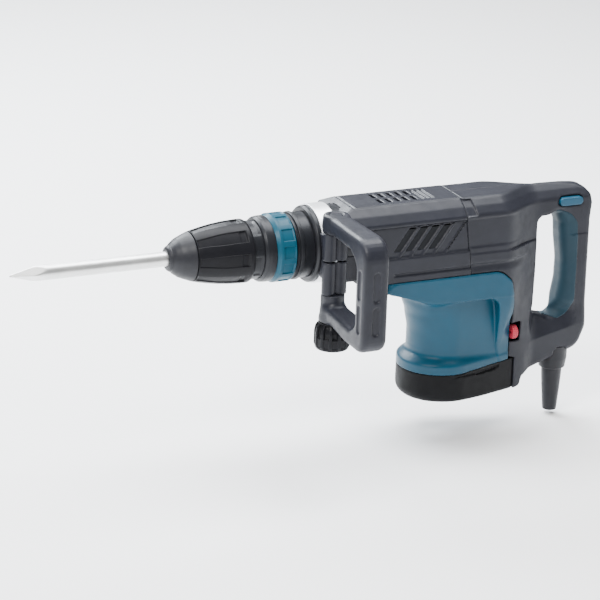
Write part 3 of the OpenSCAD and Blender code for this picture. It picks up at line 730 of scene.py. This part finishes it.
def base_field(x, y, z):
    plan = foot_plan(x, y)
    top = BASE_Z - 0.15 + seam_rise(x)
    d = meet(plan, FOOT_Z - z, 14 - 8*ease(x, 345, 420))
    d = meet(d, z - top, 0.8)
    lip = np.abs(z - top + 3.4 + 1.4*ease(x, 360, 430)) - 1.7*ease(x, 356, 400)
    lip = np.maximum(lip, np.maximum(-1.5 - plan, np.abs(x - 398) - 38))
    d = cut(d, lip, 0.5)
    slot = np.abs(z - top + 7.2) - 1.1*ease(x, 394, 410)
    slot = np.maximum(slot, np.maximum(-2.6 - plan, np.abs(x - 415) - 16))
    d = cut(d, slot, 0.4)
    return meet(d, x - 459.5, 0.5)


# ---------------------------------------------------------------- rear handle
HANDLE = [(470, 47.2, 200), (500, 47, 60), (527, 45.5, 60), (546, 42.2, 20), (556, 38, 12),
          (562.5, 30, 10), (565.3, 19, 8), (563.2, -2, 40), (563.2, -60, 60), (563.3, -110, 60),
          (565.4, -144, 20), (557, -170, 20), (474, -197.5, 3), (470.5, -208.5, 4),
          (460.2, -210.5, 1), (460.2, -169.5, 0), (451.2, -167, 0),
          (451.3, -118, 30), (446.7, -86, 20), (441.2, -60, 18), (424.6, -45.9, 22),
          (383.2, -45.9, 0.3), (375.2, 24.4, 0), (375.2, 46.8, 0.5)]
HANDLE_GAP = [(488.5, 2, 8), (494, 7.5, 4), (519, 9.5, 3), (525, -6, 12), (527, -30, 60),
              (531, -57, 50), (530.5, -83, 40), (526, -108, 30), (515, -127, 8), (495, -122, 7),
              (486.8, -112, 4), (488.5, -60, 40)]


def arm_edge(x):
    """Height of the ridge between the lower arm's side and its sloping top."""
    return -159 + 0.228*(x - 461)


def handle_width(x, z):
    body = 50 - 28.5*ease(x, 432, 494)
    low_zone = ease(-z, 60, 165)
    tail = 30 - 8.5*ease(x, 452, 500)
    width = body*(1 - low_zone) + np.minimum(body, tail)*low_zone
    fade = 1 - ease(x, 446, 474)
    step = -2.0*ease(-z, -25.4, -24.2)*(1 - ease(-z, 34, 46))
    step = step + 1.7*ease(-z, 10.5, 13.5) - 2.2*ease(-z, 31.0, 36.0)
    width = width + fade*step
    slope = np.clip((z - arm_edge(x))/26, 0, 1)
    arm = ease(x, 478, 496)*(1 - ease(x, 530, 558))*(1 - ease(z, -122, -104))
    draft = 0.12*np.clip(arm_edge(x) - z, 0, 30)*ease(x, 474, 490)
    return width - 10*slope*arm - draft


SHOULDER = [(-30, 48.2, 0), (26, 48.2, 12), (40, 38.5, 16), (50, 28.5, 6), (50, -300, 0), (-30, -300, 0)]


def handle_field(x, y, z):
    side = np.abs(y)
    gap = outline(soften(HANDLE_GAP), x, z)
    width = handle_width(x, z)
    flank = side - width
    slim = ease(x, 458, 494)
    front = ease(x, 502, 518)*ease(z, -150, -118)*(1 - ease(z, 6, 26))
    d = meet(outline(soften(HANDLE), x, z), flank, 1.2 + 6.3*slim)
    shoulder = outline(soften(SHOULDER), side + 28.5*ease(x, 425, 490), z)
    d = meet(d, np.where(z > -20, shoulder, -50.0), 3)
    d = meet(d, -gap, 1.5 + slim*(3.5 + 12*front))
    line = np.abs(x - 547) - 0.5
    line = np.maximum(line, np.maximum(np.abs(z + 60) - 72, np.abs(flank) - 0.9))
    d = cut(d, line, 0.5)
    pad = np.maximum(np.maximum(x - 389 + 0.12*(z - 28), 27.8 - z), np.maximum(z - 44.6, 28 - side))
    return cut(d, np.maximum(pad, -2.3 - shoulder), 0.9)


def dial_recess(x, y, z):
    return np.maximum(box_2d(x, z, (450.9, -147.5), (466, -121.5), 3.5), y + 19)


def lever_slot(x, y, z):
    return np.maximum(box_2d(x, z, (515.4, 18.3), (549.8, 30.7), 6.2), 12 - np.abs(y))


def shell_field(x, y, z, sign):
    d = handle_field(x, y, z)
    if sign > 0:
        for at_x in (396, 436):
            for at_z in (-30, 30):
                d = cut(d, np.maximum(np.hypot(x - at_x, z - at_z) - 4.3, 40 - y), 0.5)
    hollow = np.maximum(d + 3.4, np.maximum(x - 468, 372 - x))
    d = cut(d, hollow, 0)
    d = cut(d, lever_slot(x, y, z), 0.7)
    if sign < 0:
        d = cut(d, dial_recess(x, y, z), 0.9)
    socket = np.maximum(np.hypot(x - GUARD_X, y) - 18.8, z + 168)
    d = cut(d, socket, 0.6)
    return meet(d, 0.12 - sign*y, 0.4)


SOFT = [(519, 14, 2), (534, 8.5, 14), (544.5, -4, 14), (545.5, -60, 80), (545, -106, 40),
        (539, -124, 16), (525, -130, 10), (506, -125, 3), (506, -110, 0), (515, -60, 0),
        (515, 14, 0)]


def soft_field(x, y, z):
    skin = handle_field(x, y, z) - 0.9
    zone = outline(soften(SOFT), x, z)
    d = meet(skin, zone, 0.9)
    return cut(d, handle_field(x, y, z) + 2.5, 0)


def make_housing():
    moulded("top_cover_skin", roof_field, (204, -54, 21), (378, 54, 50), 1.1, "housing", black,
            ["top_cover"])
    moulded("crank_cover_skin", crank_field, (208, -54, -66), (387, 54, 28), 1.15, "housing",
            black, ["crank_cover"])
    moulded("motor_housing_skin", motor_field, (268, -56, -178), (455, 56, -42), 1.3, "housing",
            teal, ["motor_housing"])
    moulded("base_cover_skin", base_field, (312, -56, -216), (464, 56, -170), 1.3, "housing",
            base_black_painted_shade, ["base_cover"])
    for sign, name in ((-1, "rear_handle_left"), (1, "rear_handle_right")):
        low = (371, -56, -216) if sign < 0 else (371, -2, -216)
        high = (580, 2, 58) if sign < 0 else (580, 56, 58)
        moulded(name + "_skin", lambda x, y, z, s=sign: shell_field(x, y, z, s), low, high, 1.45,
                "housing", black, [name])
    moulded("soft_grip_skin", soft_field, (496, -27, -142), (552, 27, 20), 1.2, "housing",
            grip_teal, ["soft_grip"])


def make_controls():
    def lever(x, y, z):
        return meet(box_2d(x, z, (516.6, 19.5), (548.6, 29.5), 5), np.abs(y + 0.5) - 23.5, 1.2)
    moulded("switch_lever_skin", lever, (514, -28, 17), (552, 28, 32), 0.9, "switch_lever",
            lever_teal, ["switch_lever"])
    rim = section([(452.1, 2.1, 0.2), (452.1, DIAL_R - 1, 0.8), (453.2, DIAL_R, 0.8),
                   (458.4, DIAL_R, 0.8), (459.5, DIAL_R - 1, 0.8), (459.5, 2.1, 0.2)], 0.6)
    pitch = 2*math.pi/DIAL_RIDGES

    def knurl(x, r, a):
        local = np.abs(a % pitch - pitch/2)*DIAL_R
        return np.where(r > DIAL_R - 1.2, r - 0.6*ease(0.8 - local, -0.3, 0.3), r)
    turned("speed_dial_skin", rim, knurl, "speed_dial", dial_red, ["speed_dial"], turns=216,
           place=lambda v: v + np.array(DIAL_AT))
    corners = [(168.3, 5.0, 0.2), (168.3, 18.5, 0.5), (186, 18.3, 4), (198, 16.4, 1.2),
               (199, 13.0, 1.0), (206, 12.8, 3), (226, 11.4, 20), (248, 9.6, 20),
               (255.9, 8.8, 0.8), (255.9, 5.0, 0.6)]
    turned("cord_guard_skin", section(corners, 1.0), None, "housing", rubber, ["cord_guard"],
           turns=72, place=hanging(GUARD_X, 0.0))


# ---------------------------------------------------------------- carried-over CAD nodes
INNER = {
    "dark_steel": metal("dark_steel_look", "dark_steel", (0.3, 0.31, 0.33)),
    "bright_steel": metal("bright_steel_look", "bright_steel", (0.62, 0.63, 0.64)),
    "black_plastic": black, "black_rubber": rubber, "collar_paint": collar_paint,
    "barrel_alloy": barrel_paint, "teal_plastic": teal, "teal_ring": ring_teal,
    "teal_rubber": grip_teal, "red_dial": dial_red,
    # The cast alloy is coloured near-black so that what shows through the louvres reads as the shade
    # inside: painted shade.
    "cast_alloy": metal("cast_alloy_painted_shade", "cast_alloy", (0.02, 0.021, 0.023), rough=(0.5, 0.7),
                        grain=0.0008, depth=0.00006),
    "copper": metal("copper_look", "copper", (0.6, 0.26, 0.12), brush=(1, 1, 12)),
    "brass": metal("brass_look", "brass", (0.7, 0.5, 0.22)),
    "carbon": plastic("carbon_look", "carbon", (0.025, 0.025, 0.027), rough=(0.5, 0.65)),
    "lamination": metal("lamination_look", "lamination", (0.28, 0.28, 0.29), brush=(1, 1, 40),
                        grain=0.02, rough=(0.4, 0.6)),
    "circuit": plastic("circuit_look", "circuit", (0.04, 0.22, 0.1), rough=(0.3, 0.45)),
    "white_plastic": plastic("white_plastic_look", "white_plastic", (0.7, 0.7, 0.67)),
}


def dress_nodes():
    slots = {s["node"]: s["material_slot"] for s in frame["record"]["subparts"]}
    for name, node in frame["nodes"].items():
        look = INNER[slots[name]]
        node.data.materials.clear()
        node.data.materials.append(look["material"])


# ---------------------------------------------------------------- camera, floor and lights
def make_camera():
    cos_rise = math.cos(VIEW_RISE)
    back = Vector((math.sin(VIEW_TURN)*cos_rise, -math.cos(VIEW_TURN)*cos_rise, math.sin(VIEW_RISE)))
    right = Vector((math.cos(VIEW_TURN), math.sin(VIEW_TURN), 0))
    up = back.cross(right)
    c, s = math.cos(VIEW_ROLL), math.sin(VIEW_ROLL)
    right, up = c*right + s*up, c*up - s*right
    camera = bpy.data.objects.new("camera", bpy.data.cameras.new("camera"))
    camera.data.lens = VIEW_LENS
    camera.data.sensor_width = 36
    camera.data.clip_end = 50
    turn = Matrix((right, up, back)).transposed().to_4x4()
    camera.matrix_world = Matrix.Translation(VIEW_TARGET + back*VIEW_DISTANCE) @ turn
    bpy.context.scene.collection.objects.link(camera)
    bpy.context.scene.camera = camera


def area_light(name, place, target, size, power, colour=(1, 1, 1)):
    data = bpy.data.lights.new(name, "AREA")
    data.shape = "RECTANGLE"
    data.size, data.size_y = size
    data.energy = power
    data.color = colour
    light = bpy.data.objects.new(name, data)
    light.location = place
    light.rotation_euler = (Vector(target) - Vector(place)).to_track_quat("-Z", "Y").to_euler()
    bpy.context.scene.collection.objects.link(light)


def make_stage():
    mesh = bpy.data.meshes.new("floor")
    mesh.from_pydata([(x, y, FLOOR_Z) for x, y in ((-15, -15), (15, -15), (15, 15), (-15, 15))],
                     [], [(0, 1, 2, 3)])
    floor = bpy.data.objects.new("floor", mesh)
    bpy.context.scene.collection.objects.link(floor)
    n = Nodes("pale_floor")
    n.link(n.blend(n.noise(0.8, 2.0), (0.93, 0.93, 0.93, 1), (0.96, 0.96, 0.96, 1)),
           n.shader.inputs["Base Color"])
    n.shader.inputs["Roughness"].default_value = 0.9
    floor.data.materials.append(n.material)
    world = bpy.data.worlds.new("studio")
    world.use_nodes = True
    world.node_tree.nodes["Background"].inputs["Color"].default_value = (1, 1, 1, 1)
    world.node_tree.nodes["Background"].inputs["Strength"].default_value = 0.34
    bpy.context.scene.world = world
    middle = (0.2, 0, -0.05)
    area_light("key", (-1.3, -1.2, 2.1), middle, (1.0, 0.8), 100, (1.0, 0.99, 0.97))
    area_light("top", (0.4, 0.6, 2.2), middle, (2.6, 1.6), 190, (0.95, 0.97, 1.0))
    area_light("side", (1.9, -1.3, 0.7), middle, (0.6, 1.2), 8)
    area_light("rim", (-0.3, 2.0, 1.3), middle, (2.4, 0.9), 150, (0.9, 0.95, 1.0))


make_camera()
make_stage()
make_bit()
make_nose_cap()
make_release_cover()
make_neck()
make_change_ring()
make_barrel()
make_jaws()
make_side_grip()
make_knob()
make_housing()
make_controls()
dress_nodes()
